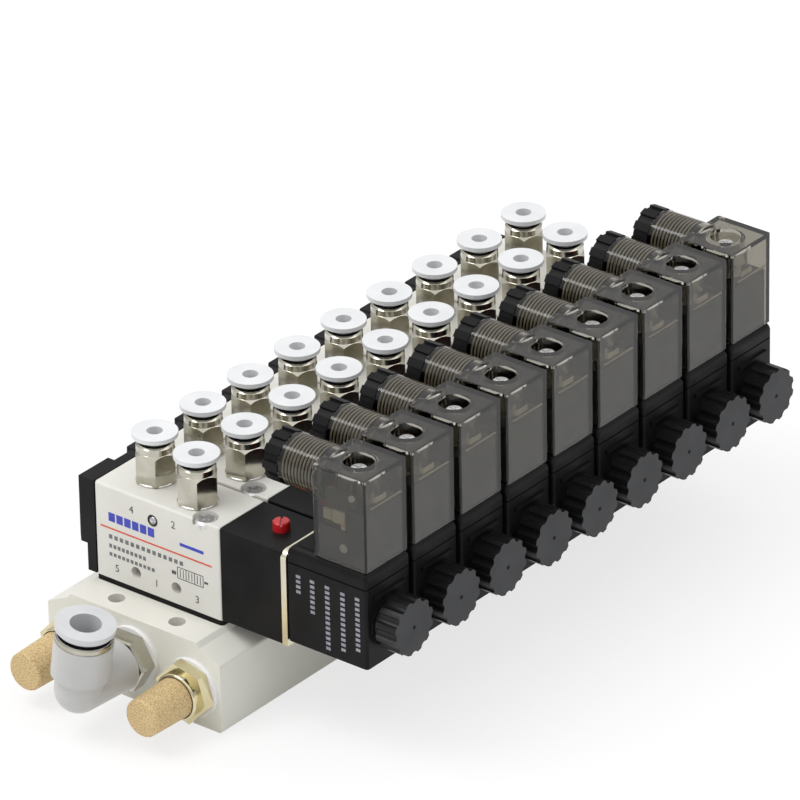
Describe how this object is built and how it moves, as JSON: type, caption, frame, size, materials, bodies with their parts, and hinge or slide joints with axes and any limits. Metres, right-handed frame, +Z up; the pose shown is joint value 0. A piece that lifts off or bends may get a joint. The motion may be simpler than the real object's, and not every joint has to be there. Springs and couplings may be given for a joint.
{
  "type": "pneumatic valve island",
  "caption": "Row of slim solenoid valves on one manifold with push-in tube fittings, override buttons, coils with smoked plugs, supply elbow and sintered silencers.",
  "frame": {"origin": "centre of the manifold's flat base", "axes": "+Z up, +Y along the manifold away from the supply end, +X towards the coils"},
  "size_m": [0.1042, 0.2246, 0.0811],
  "materials": {
    "cast_white": "satin off-white paint",
    "rubber_black": "matt",
    "black_plastic": "fine moulded grain",
    "knob_black": "satin moulded",
    "screw_steel": "zinc plated",
    "yellow_zinc": "yellow passivated steel",
    "button_red": "gloss",
    "smoke_clear": "clear smoked plastic",
    "insert_grey": "moulded terminal block",
    "nickel": "nickel plated brass",
    "seal_white": "nylon washer",
    "silencer_brass": "turned brass",
    "sintered_bronze": "sintered grains",
    "elbow_grey": "moulded resin",
    "ring_white": "moulded resin",
    "spool_alloy": "ground",
    "core_steel": "stainless"
  },
  "bodies": {
    "island": {"manifold": "cast_white", "valve_gaskets": "rubber_black", "valve_bodies": "cast_white", "end_covers": "black_plastic", "valve_screws": "screw_steel", "pilot_blocks": "black_plastic", "yoke_plates": "yellow_zinc", "armature_tubes": "core_steel", "armatures": "core_steel", "coils": "black_plastic", "coil_nuts": "knob_black", "connector_covers": "smoke_clear", "connector_inserts": "insert_grey", "connector_screws": "screw_steel", "gland_nuts": "black_plastic", "gland_seals": "rubber_black", "fitting_bodies": "nickel", "port_seals": "seal_white", "silencer_bodies": "silencer_brass", "silencer_elements": "sintered_bronze", "port_plugs": "nickel", "elbow_stem": "nickel"},
    "elbow": {"elbow_body": "elbow_grey"},
    "elbow_ring": {"elbow_release_ring": "ring_white"},
    "spool_1": {"spool_1": "spool_alloy"},
    "button_1": {"override_button_1": "button_red"},
    "ring_a1": {"release_ring_a1": "ring_white"},
    "ring_b1": {"release_ring_b1": "ring_white"},
    "spool_2": {"spool_2": "spool_alloy"},
    "button_2": {"override_button_2": "button_red"},
    "ring_a2": {"release_ring_a2": "ring_white"},
    "ring_b2": {"release_ring_b2": "ring_white"},
    "spool_3": {"spool_3": "spool_alloy"},
    "button_3": {"override_button_3": "button_red"},
    "ring_a3": {"release_ring_a3": "ring_white"},
    "ring_b3": {"release_ring_b3": "ring_white"},
    "spool_4": {"spool_4": "spool_alloy"},
    "button_4": {"override_button_4": "button_red"},
    "ring_a4": {"release_ring_a4": "ring_white"},
    "ring_b4": {"release_ring_b4": "ring_white"},
    "spool_5": {"spool_5": "spool_alloy"},
    "button_5": {"override_button_5": "button_red"},
    "ring_a5": {"release_ring_a5": "ring_white"},
    "ring_b5": {"release_ring_b5": "ring_white"},
    "spool_6": {"spool_6": "spool_alloy"},
    "button_6": {"override_button_6": "button_red"},
    "ring_a6": {"release_ring_a6": "ring_white"},
    "ring_b6": {"release_ring_b6": "ring_white"},
    "spool_7": {"spool_7": "spool_alloy"},
    "button_7": {"override_button_7": "button_red"},
    "ring_a7": {"release_ring_a7": "ring_white"},
    "ring_b7": {"release_ring_b7": "ring_white"},
    "spool_8": {"spool_8": "spool_alloy"},
    "button_8": {"override_button_8": "button_red"},
    "ring_a8": {"release_ring_a8": "ring_white"},
    "ring_b8": {"release_ring_b8": "ring_white"},
    "spool_9": {"spool_9": "spool_alloy"},
    "button_9": {"override_button_9": "button_red"},
    "ring_a9": {"release_ring_a9": "ring_white"},
    "ring_b9": {"release_ring_b9": "ring_white"}
  },
  "joints": [
    {"name": "elbow_swivel", "type": "hinge", "parent": "island", "child": "elbow", "pos_m": [0, -0.1085, 0.0133], "axis": [0, 1, 0], "range_deg": [-54, 36]},
    {"name": "elbow_ring_press", "type": "slide", "parent": "elbow", "child": "elbow_ring", "axis": [-0.1564, 0, -0.9877], "range_m": [0, 0.001], "stiffness_N_per_m": 1500},
    {"name": "spool_shift_1", "type": "slide", "parent": "island", "child": "spool_1", "axis": [-1, 0, 0], "range_m": [0, 0.003], "stiffness_N_per_m": 900, "springref_m": -0.002},
    {"name": "override_press_1", "type": "slide", "parent": "island", "child": "button_1", "axis": [0, 0, -1], "range_m": [0, 0.0015], "stiffness_N_per_m": 400},
    {"name": "ring_press_a1", "type": "slide", "parent": "island", "child": "ring_a1", "axis": [0, 0, -1], "range_m": [0, 0.001], "stiffness_N_per_m": 1500},
    {"name": "ring_press_b1", "type": "slide", "parent": "island", "child": "ring_b1", "axis": [0, 0, -1], "range_m": [0, 0.001], "stiffness_N_per_m": 1500},
    {"name": "spool_shift_2", "type": "slide", "parent": "island", "child": "spool_2", "axis": [-1, 0, 0], "range_m": [0, 0.003], "stiffness_N_per_m": 900, "springref_m": -0.002},
    {"name": "override_press_2", "type": "slide", "parent": "island", "child": "button_2", "axis": [0, 0, -1], "range_m": [0, 0.0015], "stiffness_N_per_m": 400},
    {"name": "ring_press_a2", "type": "slide", "parent": "island", "child": "ring_a2", "axis": [0, 0, -1], "range_m": [0, 0.001], "stiffness_N_per_m": 1500},
    {"name": "ring_press_b2", "type": "slide", "parent": "island", "child": "ring_b2", "axis": [0, 0, -1], "range_m": [0, 0.001], "stiffness_N_per_m": 1500},
    {"name": "spool_shift_3", "type": "slide", "parent": "island", "child": "spool_3", "axis": [-1, 0, 0], "range_m": [0, 0.003], "stiffness_N_per_m": 900, "springref_m": -0.002},
    {"name": "override_press_3", "type": "slide", "parent": "island", "child": "button_3", "axis": [0, 0, -1], "range_m": [0, 0.0015], "stiffness_N_per_m": 400},
    {"name": "ring_press_a3", "type": "slide", "parent": "island", "child": "ring_a3", "axis": [0, 0, -1], "range_m": [0, 0.001], "stiffness_N_per_m": 1500},
    {"name": "ring_press_b3", "type": "slide", "parent": "island", "child": "ring_b3", "axis": [0, 0, -1], "range_m": [0, 0.001], "stiffness_N_per_m": 1500},
    {"name": "spool_shift_4", "type": "slide", "parent": "island", "child": "spool_4", "axis": [-1, 0, 0], "range_m": [0, 0.003], "stiffness_N_per_m": 900, "springref_m": -0.002},
    {"name": "override_press_4", "type": "slide", "parent": "island", "child": "button_4", "axis": [0, 0, -1], "range_m": [0, 0.0015], "stiffness_N_per_m": 400},
    {"name": "ring_press_a4", "type": "slide", "parent": "island", "child": "ring_a4", "axis": [0, 0, -1], "range_m": [0, 0.001], "stiffness_N_per_m": 1500},
    {"name": "ring_press_b4", "type": "slide", "parent": "island", "child": "ring_b4", "axis": [0, 0, -1], "range_m": [0, 0.001], "stiffness_N_per_m": 1500},
    {"name": "spool_shift_5", "type": "slide", "parent": "island", "child": "spool_5", "axis": [-1, 0, 0], "range_m": [0, 0.003], "stiffness_N_per_m": 900, "springref_m": -0.002},
    {"name": "override_press_5", "type": "slide", "parent": "island", "child": "button_5", "axis": [0, 0, -1], "range_m": [0, 0.0015], "stiffness_N_per_m": 400},
    {"name": "ring_press_a5", "type": "slide", "parent": "island", "child": "ring_a5", "axis": [0, 0, -1], "range_m": [0, 0.001], "stiffness_N_per_m": 1500},
    {"name": "ring_press_b5", "type": "slide", "parent": "island", "child": "ring_b5", "axis": [0, 0, -1], "range_m": [0, 0.001], "stiffness_N_per_m": 1500},
    {"name": "spool_shift_6", "type": "slide", "parent": "island", "child": "spool_6", "axis": [-1, 0, 0], "range_m": [0, 0.003], "stiffness_N_per_m": 900, "springref_m": -0.002},
    {"name": "override_press_6", "type": "slide", "parent": "island", "child": "button_6", "axis": [0, 0, -1], "range_m": [0, 0.0015], "stiffness_N_per_m": 400},
    {"name": "ring_press_a6", "type": "slide", "parent": "island", "child": "ring_a6", "axis": [0, 0, -1], "range_m": [0, 0.001], "stiffness_N_per_m": 1500},
    {"name": "ring_press_b6", "type": "slide", "parent": "island", "child": "ring_b6", "axis": [0, 0, -1], "range_m": [0, 0.001], "stiffness_N_per_m": 1500},
    {"name": "spool_shift_7", "type": "slide", "parent": "island", "child": "spool_7", "axis": [-1, 0, 0], "range_m": [0, 0.003], "stiffness_N_per_m": 900, "springref_m": -0.002},
    {"name": "override_press_7", "type": "slide", "parent": "island", "child": "button_7", "axis": [0, 0, -1], "range_m": [0, 0.0015], "stiffness_N_per_m": 400},
    {"name": "ring_press_a7", "type": "slide", "parent": "island", "child": "ring_a7", "axis": [0, 0, -1], "range_m": [0, 0.001], "stiffness_N_per_m": 1500},
    {"name": "ring_press_b7", "type": "slide", "parent": "island", "child": "ring_b7", "axis": [0, 0, -1], "range_m": [0, 0.001], "stiffness_N_per_m": 1500},
    {"name": "spool_shift_8", "type": "slide", "parent": "island", "child": "spool_8", "axis": [-1, 0, 0], "range_m": [0, 0.003], "stiffness_N_per_m": 900, "springref_m": -0.002},
    {"name": "override_press_8", "type": "slide", "parent": "island", "child": "button_8", "axis": [0, 0, -1], "range_m": [0, 0.0015], "stiffness_N_per_m": 400},
    {"name": "ring_press_a8", "type": "slide", "parent": "island", "child": "ring_a8", "axis": [0, 0, -1], "range_m": [0, 0.001], "stiffness_N_per_m": 1500},
    {"name": "ring_press_b8", "type": "slide", "parent": "island", "child": "ring_b8", "axis": [0, 0, -1], "range_m": [0, 0.001], "stiffness_N_per_m": 1500},
    {"name": "spool_shift_9", "type": "slide", "parent": "island", "child": "spool_9", "axis": [-1, 0, 0], "range_m": [0, 0.003], "stiffness_N_per_m": 900, "springref_m": -0.002},
    {"name": "override_press_9", "type": "slide", "parent": "island", "child": "button_9", "axis": [0, 0, -1], "range_m": [0, 0.0015], "stiffness_N_per_m": 400},
    {"name": "ring_press_a9", "type": "slide", "parent": "island", "child": "ring_a9", "axis": [0, 0, -1], "range_m": [0, 0.001], "stiffness_N_per_m": 1500},
    {"name": "ring_press_b9", "type": "slide", "parent": "island", "child": "ring_b9", "axis": [0, 0, -1], "range_m": [0, 0.001], "stiffness_N_per_m": 1500}
  ]
}
